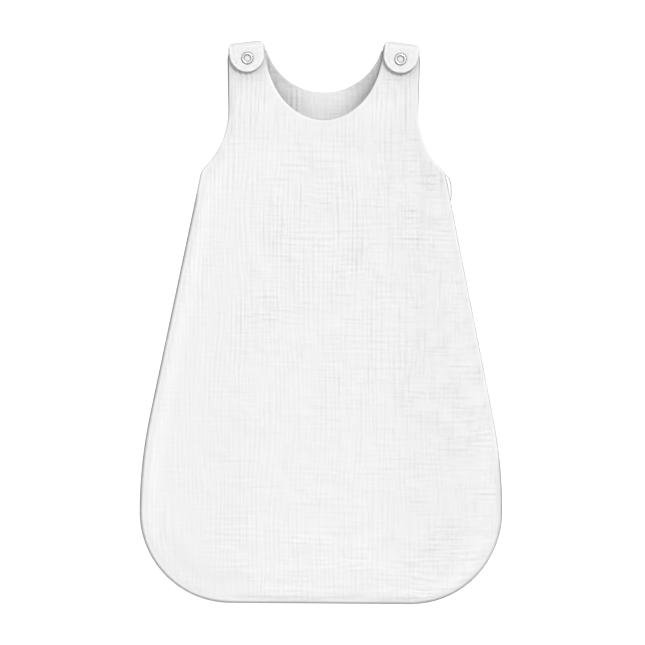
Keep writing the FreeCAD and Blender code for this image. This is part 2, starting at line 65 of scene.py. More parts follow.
MM = 0.001
FRONT_CELL = (1.4, 2.15)  # the fine grids' cells, across and up the bag
LINING_CELL = (1.6, 2.6)
INNER_LINING_CELL = (2.6, 3.6)
BACK_CELL = (2.4, 3.4)
TAB_CELL = (0.8, 0.8)
CLOTH_CELL = 8.0          # the simulated sheet's cells
INNER_SPACING = 9.0       # points of the coarse inner faces
EDGE_ROLL = 4.0           # how far the front's rolled edge reaches in from the outline
ROLL_STEPS = 6            # rows of faces from a shell's face to its seam
LAYER_GAP = 0.1           # between two cloth layers
SHEET_FRAMES = 20         # length of the cloth simulation
SHEET_CAP = 1.6           # how far the simulation may move a point
KEY_TOWARDS, KEY_POWER = (0.33, 0.5, 0.9), 1.85      # the way from the bag to each lamp
FILL_TOWARDS, FILL_POWER = (-0.6, -0.8, 0.55), 0.32
SKY_POWER, GROUND_POWER = 0.55, 0.15
WHITE = (1.0, 1.0, 1.0, 1.0)
FRAME_WIDTH = 0.8034      # metres across the picture at the height of the seam
CAMERA_SHIFT = (0.0005, -0.0006)          # metres
CAMERA_TURN = 0.4                         # degrees


# ---- places read from the frame ----

def box_mm(node):
    low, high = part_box(node)
    return np.array(low) / MM, np.array(high) / MM


def joint(name):
    return next(entry for entry in frame["joints"] if entry["name"] == name)


def fold_of(side):
    """A shoulder's fold: a point of its line, the way out towards the arm, and the way down the strap."""
    hinge = joint(f"shoulder_tab_{side}_fold")
    sign = 1.0 if side == "right" else -1.0
    point = np.array(hinge["pos_m"][:2]) / MM
    axis = np.array(hinge["axis"][:2])
    outward = axis * np.sign(axis[0]) * sign
    down = np.array([outward[1] * sign, -outward[0] * sign])
    return point, outward, down


FOLDS = {side: fold_of(side) for side in ("left", "right")}
FOLD_RADIUS = joint("shoulder_tab_right_fold")["pos_m"][2] / MM
BACK_INSIDE_Z = box_mm("back_lining")[1][2]
SEAM_Z = box_mm("seam_binding")[0][2] + 0.5
BACK_NODES = ("back_outer", "back_wadding")
FRONT_NODES = ("front_outer", "front_wadding", "strap_reinforcements")


def below_fold(points, side):
    """How far points are down the strap from a shoulder's fold line."""
    origin, _, down = FOLDS[side]
    return (points - origin) @ down


# ---- noise ----

def lattice_value(ix, iy, seed):
    n = (ix * 374761393 + iy * 668265263 + seed * 1442695041) & 0xFFFFFFFF
    n = ((n ^ (n >> 13)) * 1274126177) & 0xFFFFFFFF
    return ((n ^ (n >> 16)) & 0xFFFF) / 32768.0 - 1.0


def noise(x, y, seed):
    """Smooth repeatable noise between -1 and 1."""
    fx, fy = np.floor(x), np.floor(y)
    ix, iy = fx.astype(np.int64), fy.astype(np.int64)
    u, v = x - fx, y - fy
    u, v = u * u * (3 - 2 * u), v * v * (3 - 2 * v)
    low = lattice_value(ix, iy, seed) * (1 - u) + lattice_value(ix + 1, iy, seed) * u
    high = lattice_value(ix, iy + 1, seed) * (1 - u) + lattice_value(ix + 1, iy + 1, seed) * u
    return low * (1 - v) + high * v


def smooth(value):
    value = np.clip(value, 0.0, 1.0)
    return value * value * (3 - 2 * value)


def ramp(value, start, end):
    """Eases from 0 at start to 1 at end, whichever of the two is lower."""
    return smooth((value - start) / (end - start))


def bell(value, middle, width):
    """1 at the middle, dying away on both sides."""
    return np.exp(-((value - middle) / width) ** 2)


def creases(along, across, pitch, seed, straight=1.0):
    """Rounded ribs with pinched valleys, running along one way, that wander and fade in patches."""
    wander = 0.9 * noise(across / 40.0, along / (120.0 * straight), seed)
    wander += 0.3 * noise(across / 14.0, along / (50.0 * straight), seed + 1)
    rib = np.abs(np.sin(np.pi * (across / pitch + wander))) ** 0.8
    strength = 0.55 + 0.9 * noise(across / 9.0, along / (42.0 * straight), seed + 2)
    return (rib - 0.62) * np.clip(strength, 0.0, 0.95)


def crinkle(x, y, upright=1.0, level=1.0, seed=11):
    """Height of crinkled muslin: upright creases, with shorter level ones in patches."""
    wide = creases(y, x, 5.6, seed)
    narrow = creases(y, x, 4.3, seed + 20)
    rungs = creases(x, y, 6.2, seed + 40, 0.6)
    patch = smooth(0.5 + 0.9 * noise(x / 38.0, y / 30.0, seed + 60))
    calm = 0.65 + 0.35 * smooth(0.6 + noise(x / 60.0, y / 70.0, seed + 65))
    pucker = noise(x / 6.5, y / 9.0, seed + 70)
    height = upright * (1.42 * wide + 0.84 * narrow) + level * (0.35 + 0.65 * patch) * 1.26 * rungs
    return calm * height + 0.16 * pucker


# ---- outlines ----

def plan_loop(node):
    """The longest boundary of a CAD node's upward faces, seen from above, as an ordered loop."""
    mesh = frame["nodes"][node].data
    keys = [tuple(round(c * 1e6) for c in v.co) for v in mesh.vertices]
    where = {key: np.array(v.co[:2]) / MM for key, v in zip(keys, mesh.vertices)}
    directed = set()
    for face in mesh.polygons:
        if face.normal.z > 0.2:
            corners = [keys[v] for v in face.vertices]
            directed.update(zip(corners, corners[1:] + corners[:1]))
    following = {a: b for a, b in directed if (b, a) not in directed}
    loops = []
    while following:
        start, step = following.popitem()
        loop = [start]
        while step != start and step in following:
            loop.append(step)
            step = following.pop(step)
        loops.append(np.array([where[key] for key in loop]))
    return max(loops, key=loop_length)


def loop_length(loop):
    return np.linalg.norm(np.roll(loop, -1, axis=0) - loop, axis=1).sum()


def resample(loop, spacing):
    """A closed loop with evenly spaced points."""
    ring = np.vstack([loop, loop[:1]])
    run = np.concatenate([[0.0], np.cumsum(np.linalg.norm(np.diff(ring, axis=0), axis=1))])
    wanted = np.linspace(0.0, run[-1], max(int(run[-1] / spacing), 8), endpoint=False)
    return np.column_stack([np.interp(wanted, run, ring[:, i]) for i in range(ring.shape[1])])


def fair(loop, rounds):
    """Smooths a loop's facets without shrinking it."""
    for step in range(2 * rounds):
        share = 0.5 if step % 2 == 0 else -0.52
        middle = 0.5 * (np.roll(loop, 1, axis=0) + np.roll(loop, -1, axis=0))
        loop = loop + share * (middle - loop)
    return loop


def blur(values, rounds):
    """Smooths values along a closed loop."""
    for _ in range(rounds):
        values = 0.5 * values + 0.25 * (np.roll(values, 1, axis=0) + np.roll(values, -1, axis=0))
    return values


def anticlockwise(loop):
    area = (loop[:, 0] * np.roll(loop[:, 1], -1) - loop[:, 1] * np.roll(loop[:, 0], -1)).sum()
    return loop if area > 0 else loop[::-1]


def outline(node, strap_end=None):
    """A panel's fair outline at 1 mm steps, its straps shortened to end below the fold if asked."""
    loop = anticlockwise(plan_loop(node))
    if strap_end is not None:
        loop = resample(loop, 0.5)
        for side, (_, _, down) in FOLDS.items():
            same_side = loop[:, 0] * (1 if side == "right" else -1) > 0
            lack = np.where(same_side, np.maximum(strap_end - below_fold(loop, side), 0.0), 0.0)
            lack[lack > strap_end * 1.5 + 20.0] = 0.0
            loop = loop + lack[:, None] * down
    return resample(fair(resample(loop, 2.0), 6), 1.0)


def outward_normals(loop):
    tangent = blur(np.roll(loop, -2, axis=0) - np.roll(loop, 2, axis=0), 4)
    tangent /= np.linalg.norm(tangent, axis=1)[:, None]
    return np.column_stack([tangent[:, 1], -tangent[:, 0]])


def moved_in(loop, distance):
    return resample(loop - distance * outward_normals(loop), 1.0)


# ---- height fields ----

class Field:
    """Values on a regular lattice, read back smoothly anywhere."""

    def __init__(self, low, cell, values):
        self.low = np.array(low, float)
        self.cell = cell
        self.values = values

    def __call__(self, x, y):
        columns, rows = self.values.shape[:2]
        u = np.clip((np.asarray(x, float) - self.low[0]) / self.cell, 1.0, columns - 2.001)
        v = np.clip((np.asarray(y, float) - self.low[1]) / self.cell, 1.0, rows - 2.001)
        i, j = np.floor(u).astype(int), np.floor(v).astype(int)
        a, b = u - i, v - j
        total = 0.0
        for di, wi in zip((-1, 0, 1, 2), spline_weights(a)):
            for dj, wj in zip((-1, 0, 1, 2), spline_weights(b)):
                total = total + self.values[i + di, j + dj] * wi * wj
        return total


def spline_weights(t):
    """Cubic B-spline weights, which also smooth out the facets of the surface that was sampled."""
    return ((1 - t) ** 3 / 6, (3 * t ** 3 - 6 * t ** 2 + 4) / 6,
            (-3 * t ** 3 + 3 * t ** 2 + 3 * t + 1) / 6, t ** 3 / 6)


def sampled_surface(node, direction, cell=CLOTH_CELL):
    """The height of a CAD node's upper or lower face over its plan, as a smooth field."""
    mesh = frame["nodes"][node].data
    tree = BVHTree.FromPolygons([v.co for v in mesh.vertices], [tuple(p.vertices) for p in mesh.polygons])
    low, high = box_mm(node)
    margin = 4 * cell
    columns, rows = ((high - low + 2 * margin) / cell).astype(int)[:2] + 2
    values = np.full((columns, rows), np.nan)
    start = 1.0 if direction < 0 else -1.0
    for i in range(columns):
        for j in range(rows):
            place = ((low[0] - margin + i * cell) * MM, (low[1] - margin + j * cell) * MM, start)
            hit = tree.ray_cast(place, (0, 0, direction))[0]
            if hit is not None:
                values[i, j] = hit.z / MM
    while np.isnan(values).any():
        padded = np.pad(values, 1, constant_values=np.nan)
        around = np.stack([padded[1 + di:1 + di + columns, 1 + dj:1 + dj + rows]
                           for di in (-1, 0, 1) for dj in (-1, 0, 1)])
        known = ~np.isnan(around)
        count = known.sum(0)
        mean = np.where(known, around, 0.0).sum(0) / np.maximum(count, 1)
        values = np.where(np.isnan(values) & (count > 0), mean, values)
    return Field(low[:2] - margin, cell, values)


def flat(z):
    return lambda x, y: np.full(np.shape(x), float(z))


# ---- meshes ----

def make_object(name, points, faces, material):
    """A mesh object from points in millimetres."""
    mesh = bpy.data.meshes.new(name)
    mesh.from_pydata((np.asarray(points) * MM).tolist(), [], [tuple(map(int, f)) for f in faces])
    mesh.validate()
    mesh.update()
    return clothed(name, mesh, material)


def placed(name, data):
    """A new object in the scene."""
    made = bpy.data.objects.new(name, data)
    scene.collection.objects.link(made)
    return made


def clothed(name, mesh, material):
    """A smooth piece in the scene, with even tone and crumpling to start from."""
    mesh.polygons.foreach_set("use_smooth", [True] * len(mesh.polygons))
    mesh.materials.clear()
    mesh.materials.append(material)
    made = placed(name, mesh)
    for value in ("shade", "crumple"):
        set_value(made, value, np.ones(len(mesh.vertices)))
    return made


def set_value(made, name, values):
    """Gives a piece a value point by point, for the cloth materials: its tone, or how crumpled it is."""
    held = made.data.attributes.get(name) or made.data.attributes.new(name, "FLOAT", "POINT")
    held.data.foreach_set("value", np.asarray(values, np.float32))


def vertices_mm(mesh):
    return vertex_values(mesh, "co") / MM


def vertex_values(mesh, name):
    values = np.zeros(len(mesh.vertices) * 3)
    mesh.vertices.foreach_get(name, values)
    return values.reshape(-1, 3)


def cells_inside(loop, cell):
    """Which cells of a lattice have their middle inside a loop, and the lattice's lowest corner."""
    cell = np.broadcast_to(cell, 2)
    low = np.floor(loop.min(0) / cell).astype(int) - 1
    high = np.ceil(loop.max(0) / cell).astype(int) + 1
    xs = (np.arange(low[0], high[0]) + 0.5) * cell[0]
    a, b = loop, np.roll(loop, -1, axis=0)
    mask = np.zeros((high[0] - low[0], high[1] - low[1]), bool)
    for row in range(mask.shape[1]):
        y = (low[1] + row + 0.5) * cell[1]
        crossing = (a[:, 1] <= y) != (b[:, 1] <= y)
        share = (y - a[crossing, 1]) / (b[crossing, 1] - a[crossing, 1])
        cuts = np.sort(a[crossing, 0] + share * (b[crossing, 0] - a[crossing, 0]))
        mask[:, row] = np.searchsorted(cuts, xs) % 2 == 1
    for _ in range(4):
        nw_se = mask[:-1, :-1] & mask[1:, 1:] & ~mask[1:, :-1] & ~mask[:-1, 1:]
        ne_sw = mask[1:, :-1] & mask[:-1, 1:] & ~mask[:-1, :-1] & ~mask[1:, 1:]
        mask[1:, :-1] |= nw_se
        mask[:-1, :-1] |= ne_sw
    return mask, low


def boundary_of(faces):
    """The longest loop of edges that only one face uses, in the faces' own direction."""
    edges = np.concatenate([faces[:, [i, (i + 1) % 4]] for i in range(4)])
    size = int(faces.max()) + 1
    forward = edges[:, 0] * size + edges[:, 1]
    backward = edges[:, 1] * size + edges[:, 0]
    open_edges = edges[~np.isin(forward, backward)]
    following = dict(open_edges.tolist())
    best = []
    while following:
        start, step = following.popitem()
        loop = [start]
        while step != start:
            loop.append(step)
            step = following.pop(step)
        best = max(best, loop, key=len)
    return np.array(best)


def grid_inside(loop, cell):
    """Quads on the cells inside a loop: faces, the lattice corners used, the lowest corner, the mask."""
    mask, low = cells_inside(loop, cell)
    cells = np.argwhere(mask)
    corners = (cells[:, None, :] + np.array([[0, 0], [1, 0], [1, 1], [0, 1]])).reshape(-1, 2)
    used, index = np.unique(corners, axis=0, return_inverse=True)
    return index.reshape(-1, 4), used, low, mask


def fitted_grid(loop, cell):
    """A grid of quads that fills a loop, its boundary points slid onto the loop and evened out."""
    faces, used, low, _ = grid_inside(loop, cell)
    points = (used + low) * np.array(cell)
    rim = boundary_of(faces)
    fine = resample(loop, 0.25)
    total = len(fine)
    run = nearest(points[rim], fine)[0].astype(float)
    steps = np.diff(run)
    steps = (steps + total / 2) % total - total / 2
    run = run[0] + np.concatenate([[0.0], np.cumsum(steps)])
    for _ in range(12):
        before = np.concatenate([[run[-1] - total], run[:-1]])
        after = np.concatenate([run[1:], [run[0] + total]])
        run = 0.5 * run + 0.25 * (before + after)
    place = np.mod(run, total)
    ring = np.vstack([fine, fine[:1]])
    points = points.astype(float)
    points[rim] = np.column_stack([np.interp(place, np.arange(total + 1), ring[:, i]) for i in (0, 1)])
    relax(points, faces, rim)
    return points, faces, rim


def relax(points, faces, rim, rounds=4):
    """Evens out the quads next to the boundary."""
    near = np.zeros(len(points), bool)
    near[rim] = True
    for _ in range(2):
        near[faces[near[faces].any(1)].ravel()] = True
    near[rim] = False
    edges = np.concatenate([faces[:, [i, (i + 1) % 4]] for i in range(4)])
    for _ in range(rounds):
        total = np.zeros_like(points)
        count = np.zeros(len(points))
        np.add.at(total, edges[:, 0], points[edges[:, 1]])
        np.add.at(count, edges[:, 0], 1)
        points[near] = 0.5 * points[near] + 0.5 * total[near] / count[near, None]


def inner_face(loop_points, height, spacing):
    """Triangles that fill a loop of points, with coarse points inside at a height. Returns both."""
    plan = loop_points[:, :2]
    mask, low = cells_inside(moved_in(anticlockwise(resample(plan, 2.0)), 0.5 * spacing), spacing)
    inside = (np.argwhere(mask) + low + 0.5) * spacing
    count = len(plan)
    vectors = [Vector(p) for p in np.vstack([plan, inside])]
    sides = [(i, (i + 1) % count) for i in range(count)]
    found, _, triangles, origins, _, _ = geometry.delaunay_2d_cdt(vectors, sides, [], 1, 1e-4)
    back = [o[0] if o else None for o in origins]
    triangles = [[back[i] for i in t] for t in triangles if all(back[i] is not None for i in t)]
    heights = height(inside[:, 0], inside[:, 1])
    return np.column_stack([inside, heights]), triangles


def nearest(points, others):
    """Which of some others is nearest to each point in plan, and how far away it is."""
    tree = KDTree(len(others))
    for i, p in enumerate(others):
        tree.insert((p[0], p[1], 0.0), i)
    tree.balance()
    found = [tree.find((p[0], p[1], 0.0)) for p in points]
    return np.array([f[1] for f in found]), np.array([f[2] for f in found])


def shell(name, material, loop, cell, top, bottom, seam, shape, roll, flipped=False):
    """A closed cloth shell: fine upper face, rolled edge, coarse lower face.

    top and bottom give heights over the plan, seam the height of the edge itself. shape(points, inside)
    may move the fine face's points; inside is their distance from the fine face's own boundary.
    flipped builds the shell upside down, so that the fine face is the lower one.
    """
    plan, faces, rim = fitted_grid(moved_in(loop, roll), cell)
    rim_plan = plan[rim]
    normals = outward_normals_of(rim_plan, loop)
    upper = shape(np.column_stack([plan, top(plan[:, 0], plan[:, 1])]), distance_inside(plan, rim_plan))
    high = upper[rim, 2]
    low = bottom(rim_plan[:, 0], rim_plan[:, 1])
    middle = seam(rim_plan[:, 0] + roll * normals[:, 0], rim_plan[:, 1] + roll * normals[:, 1])
    parts, all_faces = [upper], [faces]
    previous = rim
    for step in range(1, 2 * ROLL_STEPS + 1):
        angle = math.pi * step / (2 * ROLL_STEPS)
        height = high if angle <= math.pi / 2 else low
        z = middle + (height - middle) * abs(math.cos(angle))
        place = upper[rim, :2] + normals * roll * math.sin(angle)
        parts.append(np.column_stack([place, z]))
        current = len(upper) + (step - 1) * len(rim) + np.arange(len(rim))
        all_faces.append(np.column_stack([np.roll(previous, -1), previous, current, np.roll(current, -1)]))
        previous = current
    extra, triangles = inner_face(parts[-1], bottom, INNER_SPACING)
    points = np.vstack(parts + [extra])
    numbers = np.concatenate([previous, len(points) - len(extra) + np.arange(len(extra))])
    under = [tuple(numbers[i] for i in reversed(t)) for t in triangles]
    quads = np.vstack(all_faces).tolist()
    if flipped:
        quads = [q[::-1] for q in quads]
        under = [t[::-1] for t in under]
    return make_object(name, points, quads + under, material)


def outward_normals_of(points, loop):
    """The outline's outward normals at the outline points nearest to some others."""
    found = blur(outward_normals(loop)[nearest(points, loop)[0]], 3)
    return found / np.linalg.norm(found, axis=1)[:, None]


def distance_inside(points, rim_points, limit=24.0):
    """How far points are from a boundary, up to a limit."""
    return np.minimum(nearest(points, rim_points)[1], limit)


# ---- where the side seams are closed ----

binding_points = vertices_mm(frame["nodes"]["seam_binding"].data)


def closed_share(x, y):
    """1 where front and back are sewn together with the seam binding, 0 where they are open."""
    binding_x, binding_y = binding_points[:, :2].T
    left_top = binding_y.max()
    right_top = binding_y[binding_x > binding_x.max() - 40.0].max()
    left = ramp(y, left_top + 12, left_top - 12)
    right = ramp(y, right_top + 12, right_top - 12)
    return np.where(x < 0, left, right)


# ---- cloth simulation ----

def settle_front(loop, top):
    """Settles the front as real cloth between its seams, and returns how far each place moved."""
    faces, used, low, mask = grid_inside(loop, CLOTH_CELL)
    plan = (used + low) * CLOTH_CELL
    start = np.column_stack([plan, top(plan[:, 0], plan[:, 1])])
    start[:, 2] += 0.5 * noise(plan[:, 0] / 19.0, plan[:, 1] / 31.0, 5)
    sheet = make_object("front_sheet", start, faces, bpy.data.materials.new("sheet"))
    held = sheet.vertex_groups.new(name="held")
    rim_distance = distance_inside(plan, resample(loop, 4.0))
    is_closed = closed_share(plan[:, 0], plan[:, 1]) > 0.3
    strap, zip_side = plan[:, 1] > 300.0, plan[:, 0] > 100.0
    for i in np.nonzero((rim_distance < CLOTH_CELL) & (is_closed | strap | zip_side))[0]:
        held.add([int(i)], 1.0, "REPLACE")
    cloth = sheet.modifiers.new("Cloth", "CLOTH")
    for setting, value in {
            "quality": 6, "mass": 0.15, "tension_stiffness": 12.0, "compression_stiffness": 12.0,
            "shear_stiffness": 4.0, "bending_stiffness": 0.6, "shrink_min": -0.012,
            "vertex_group_mass": "held"}.items():
        setattr(cloth.settings, setting, value)
    cloth.settings.effector_weights.gravity = 0.25
    cloth.collision_settings.use_collision = False
    cloth.point_cache.frame_start = 1
    cloth.point_cache.frame_end = SHEET_FRAMES
    for number in range(1, SHEET_FRAMES + 1):
        scene.frame_set(number)
    settled = sheet.evaluated_get(bpy.context.evaluated_depsgraph_get())
    move = np.array([v.co for v in settled.data.vertices]) / MM - start
    scene.frame_set(1)
    length = np.linalg.norm(move, axis=1)[:, None]
    move *= np.minimum(1.0, SHEET_CAP / np.maximum(length, 1e-6))
    mesh = sheet.data
    bpy.data.objects.remove(sheet)
    bpy.data.meshes.remove(mesh)
    columns, rows = mask.shape[0] + 5, mask.shape[1] + 5
    values = np.zeros((columns, rows, 3))
    values[used[:, 0] + 2, used[:, 1] + 2] = move
    return [Field((low - 2) * CLOTH_CELL, CLOTH_CELL, values[:, :, axis]) for axis in range(3)]


# ---- materials ----

class Graph:
    """The shader nodes of a material or a world."""

    def __init__(self, owner):
        owner.use_nodes = True
        self.nodes, self.links = owner.node_tree.nodes, owner.node_tree.links
        self.nodes.clear()

    def add(self, kind, inputs=(), **settings):
        """Adds a node. Each input takes a value, or the output it is joined to."""
        node = self.nodes.new("ShaderNode" + kind)
        for name, value in settings.items():
            setattr(node, name, value)
        for key, value in dict(inputs).items():
            if isinstance(value, bpy.types.NodeSocket):
                self.links.new(value, node.inputs[key])
            else:
                node.inputs[key].default_value = value
        return node

    def maths(self, operation, first, second):
        return self.add("Math", {0: first, 1: second}, operation=operation).outputs[0]

    def cloud(self, place, scale=1.0, detail=2.0, stretch=None):
        """Noise, drawn out along some axes if stretch gives a scale for each."""
        if stretch is not None:
            place = self.add("Mapping", {"Vector": place, "Scale": stretch}).outputs["Vector"]
        return self.add("TexNoise", {"Vector": place, "Scale": scale, "Detail": detail}).outputs["Fac"]

    def ranged(self, value, low, high, out_low, out_high, kind="SMOOTHSTEP"):
        limits = {"Value": value, "From Min": low, "From Max": high, "To Min": out_low, "To Max": out_high}
        return self.add("MapRange", limits, interpolation_type=kind).outputs["Result"]

    def bump(self, height, strength, distance, normal=None):
        inputs = {"Height": height, "Strength": strength, "Distance": distance}
        if normal is not None:
            inputs["Normal"] = normal
        return self.add("Bump", inputs).outputs["Normal"]

    def tint(self, colour, share):
        """A colour made darker or lighter by a value."""
        inputs = {"Factor": 1.0, "A": (*colour, 1.0), "B": share}
        return self.add("Mix", inputs, data_type="RGBA", blend_type="MULTIPLY").outputs["Result"]

    def value_of(self, attribute):
        return self.add("Attribute", attribute_name=attribute).outputs["Fac"]


def cloth_material(name, colour, weave=1400.0, weave_strength=0.12, slub=0.12, sheen=0.2, creased=False):
    """Woven cloth: fine creases, crossed threads, uneven yarn, faint tone changes and a soft sheen."""
    material = bpy.data.materials.new(name)
    graph = Graph(material)
    place = graph.add("TexCoord").outputs["Object"]
    wave = {"Vector": place, "Scale": weave / 2.0, "Distortion": 1.2, "Detail": 1.0, "Detail Scale": 1.5}
    threads = [graph.add("TexWave", wave, wave_type="BANDS", bands_direction=way).outputs["Fac"]
               for way in "XY"]
    yarn = [graph.cloud(place, detail=3.0, stretch=stretch)
            for stretch in ((900.0, 90.0, 300.0), (90.0, 900.0, 300.0))]
    normal = None
    if creased:
        for stretch, patch, strength in (((265.0, 13.0, 30.0), 24.0, 1.0), ((20.0, 250.0, 30.0), 31.0, 0.8)):
            patches = graph.cloud(place, detail=1.0, stretch=(patch, patch, 9.0))
            ridge = graph.maths("MULTIPLY", graph.cloud(place, detail=1.0, stretch=stretch),
                                graph.ranged(patches, 0.35, 0.6, 0.25, 1.0))
            ridge = graph.maths("MULTIPLY", ridge, graph.value_of("crumple"))
            normal = graph.bump(ridge, strength, 0.0014, normal)
    normal = graph.bump(graph.maths("ADD", *yarn), slub, 0.0006, normal)
    normal = graph.bump(graph.maths("MAXIMUM", *threads), weave_strength, 0.0002, normal)
    tone = graph.ranged(graph.cloud(place, 45.0, 4.0), 0.3, 0.7, 0.987, 1.0, "LINEAR")
    # The base colour carries each piece's shade value: painted light, highlights and shade, with some random
    # tone.
    shader = graph.add("BsdfPrincipled", {
        "Base Color": graph.tint(colour, graph.maths("MULTIPLY", tone, graph.value_of("shade"))),
        "Normal": normal, "Roughness": 0.92, "Specular IOR Level": 0.25,
        "Sheen Weight": sheen, "Sheen Roughness": 0.6})
    graph.add("OutputMaterial", {"Surface": shader.outputs[0]})
    return material


def hard_material(name, colour, metallic, roughness, grain, painted_flank_shade=None):
    """Plated metal or moulded plastic with fine grain and handling marks. An optional last value paints shade
    on steep faces, darkening them.
    """
    material = bpy.data.materials.new(name)
    graph = Graph(material)
    coordinates = graph.add("TexCoord").outputs
    wear = graph.cloud(coordinates["Object"], 240.0)
    shade = graph.ranged(wear, 0.0, 1.0, 0.92, 1.03, "LINEAR")
    if painted_flank_shade is not None:
        # Painted shade: faces that turn away from upright get darker.
        facing = graph.add("SeparateXYZ", {0: coordinates["Normal"]}).outputs["Z"]
        shade = graph.maths("MULTIPLY", shade, graph.ranged(facing, 0.55, 0.97, painted_flank_shade, 1.0))
    shader = graph.add("BsdfPrincipled", {
        "Base Color": graph.tint(colour, shade),
        "Roughness": graph.ranged(wear, 0.0, 1.0, roughness * 0.8, roughness * 1.25, "LINEAR"),
        "Metallic": metallic,
        "Normal": graph.bump(graph.cloud(coordinates["Object"], 900.0, 5.0), grain, 0.0002)})
    graph.add("OutputMaterial", {"Surface": shader.outputs[0]})
    return material


muslin = cloth_material("muslin", (0.832, 0.832, 0.832), creased=True)
# The lining's colour is a little darker than the muslin's, as painted shade for the inside of the bag.
lining_cloth = cloth_material("lining_cloth", (0.80, 0.80, 0.80), creased=True)
tab_cloth = cloth_material("tab_cloth", (0.82, 0.82, 0.82), weave=1900.0, weave_strength=0.1, slub=0.08)
tape_cloth = cloth_material("tape_cloth", (0.78, 0.78, 0.78), weave=1500.0, weave_strength=0.5, slub=0.1)
binding_cloth = cloth_material("binding_cloth", (0.79, 0.79, 0.79), weave=1700.0, slub=0.2)
label_cloth = cloth_material("label_cloth", (0.84, 0.84, 0.83), weave=2600.0, slub=0.05, sheen=0.5)
snap_metal = hard_material("snap_metal", (0.55, 0.55, 0.56), 0.9, 0.3, 0.1)
ring_metal = hard_material("ring_metal", (0.93, 0.93, 0.94), 0.8, 0.35, 0.05, painted_flank_shade=0.12)
slider_metal = hard_material("slider_metal", (0.62, 0.62, 0.64), 0.6, 0.4, 0.1)
zip_plastic = hard_material("zip_plastic", (0.78, 0.78, 0.78), 0.0, 0.45, 0.2)

HARDWARE = {
    snap_metal: ("snap_ring_left", "snap_ring_right", "snap_socket_left", "snap_socket_right",
                 "snap_spring_left", "snap_spring_right", "snap_studs", "snap_back_rings"),
    slider_metal: ("zip_slider", "zip_pull"),
    zip_plastic: ("zip_teeth_front", "zip_teeth_back", "zip_top_stops", "zip_bottom_stop"),
}
for material, names in HARDWARE.items():
    for name in names:
        shown = frame["nodes"][name]
        if not shown.material_slots:
            shown.data.materials.append(material)
        for entry in shown.material_slots:
            entry.material = material


def fit(piece, slot, *nodes, body="root"):
    """Ties a piece to a body and hides the CAD nodes it stands for. slot, the record's material, is not used.
    """
    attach(piece, body)
    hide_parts(*nodes)


# ---- front panel ----

front_loop = outline("front_outer")
front_top = sampled_surface("front_outer", -1)
front_under = sampled_surface("front_lining", 1)


def lining_top(x, y):
    return front_under(x, y) + 1.0


def front_seam(x, y):
    """Height of the front's edge: down at the seam where it is sewn, half its own thickness elsewhere."""
    closed = closed_share(x, y)
    own = 0.5 * (front_top(x, y) + front_under(x, y))
    return closed * SEAM_Z + (1 - closed) * own


drape = settle_front(front_loop, front_top)
left_edge = front_loop[front_loop[:, 0] < 0]
left_edge = left_edge[np.argsort(left_edge[:, 1])]


def crumpling(x, y):
    """How strongly the front is creased: most at the chest and zip side, least along the plain side."""
    chest = ramp(y, -280, 180)
    below_straps = ramp(y, 260, 200)
    zip_side = ramp(x, 70, 140)
    from_left = x - np.interp(y, left_edge[:, 1], left_edge[:, 0])
    plain_side = ramp(from_left, 115, 55) * below_straps
    return (0.86 + 0.62 * chest) * (0.95 + 0.45 * zip_side - 0.62 * plain_side)


def painted_slope_light(surface, x, y):
    """Painted light: a tone that makes up for how the crowned surface turns from the light."""
    step = 4.0
    slope_x = (surface(x + step, y) - surface(x - step, y)) / (2 * step)
    slope_y = (surface(x, y + step) - surface(x, y - step)) / (2 * step)
    up = 1.0 / np.sqrt(1.0 + slope_x ** 2 + slope_y ** 2)
    light = SKY_POWER * (1.0 + up) / 2
    level_light = SKY_POWER
    for towards, power in ((KEY_TOWARDS, KEY_POWER), (FILL_TOWARDS, FILL_POWER)):
        lx, ly, lz = np.array(towards) / np.linalg.norm(towards)
        light = light + power / math.pi * np.maximum(up * (lz - slope_x * lx - slope_y * ly), 0.0)
        level_light += power / math.pi * lz
    return np.clip(level_light / light, 0.93, 1.12)


stud_radius = 0.5 * np.ptp(box_mm("snap_studs"), axis=0)[1]
studs = [np.mean(box_mm(f"snap_ring_{side}"), axis=0)[:2] for side in FOLDS]


def front_shape(points, inside):
    """Adds the settled folds, the crinkle and the seam's groove. Over the studs the cloth lies flat."""
    x, y = points[:, 0].copy(), points[:, 1].copy()
    hold = ramp(inside, 0, 24)
    if drape is not None:
        for axis in range(3):
            points[:, axis] += hold * drape[axis](x, y)
    strap = ramp(y, 230, 290)
    height = crumpling(x, y) * crinkle(x, y, 1.0 + 0.25 * strap, 1.1 - 0.9 * strap)
    fade = 0.12 + 0.88 * ramp(inside, 0, 6)
    groove = -0.45 * bell(inside, 1.6, 1.6)
    from_stud = np.min([np.hypot(x - stud[0], y - stud[1]) for stud in studs], axis=0)
    press = 1.0 - ramp(from_stud - stud_radius, 0.8, 3.8)
    points[:, 2] += (1.0 - press) * fade * height + groove - 0.5 * press
    return points


def front_tone(points, rim_inside):
    """The front's tone: painted light on its slopes, a painted highlight at its edges, a little darker at its
    sides and straps, and a painted shadow beside the tabs.
    """
    x, y = points[:, 0], points[:, 1]
    # Painted highlight along the open edges and down the zip side's edge.
    zip_edge = ramp(x, 60, 120) * ramp(y, -260, -180)
    painted_edge_highlight = np.maximum(1.0 - closed_share(x, y), zip_edge) * ramp(rim_inside, 3.6, 1.2)
    # The front is made a little darker at its sides and straps.
    darker_sides_and_straps = 0.02 * ramp(x, 60, 130) + 0.015 * ramp(-x, 60, 130)
    darker_sides_and_straps += 0.015 * ramp(y, 210, 270)
    tone = painted_slope_light(front_top, x, y) * (1.0 + 0.14 * painted_edge_highlight) * (1.0 - darker_sides_and_straps)
    # Painted shadow: the front darkens close to the tabs, as in their shade.
    tabs = [resample(plan_loop(f"tab_outer_{side}"), 1.0) for side in FOLDS]
    from_tabs = np.minimum(*[distance_inside(points[:, :2], tab, 40.0) for tab in tabs])
    return np.minimum(tone * (1.0 - 0.33 * np.exp(-from_tabs / 6.0)), 1.18)


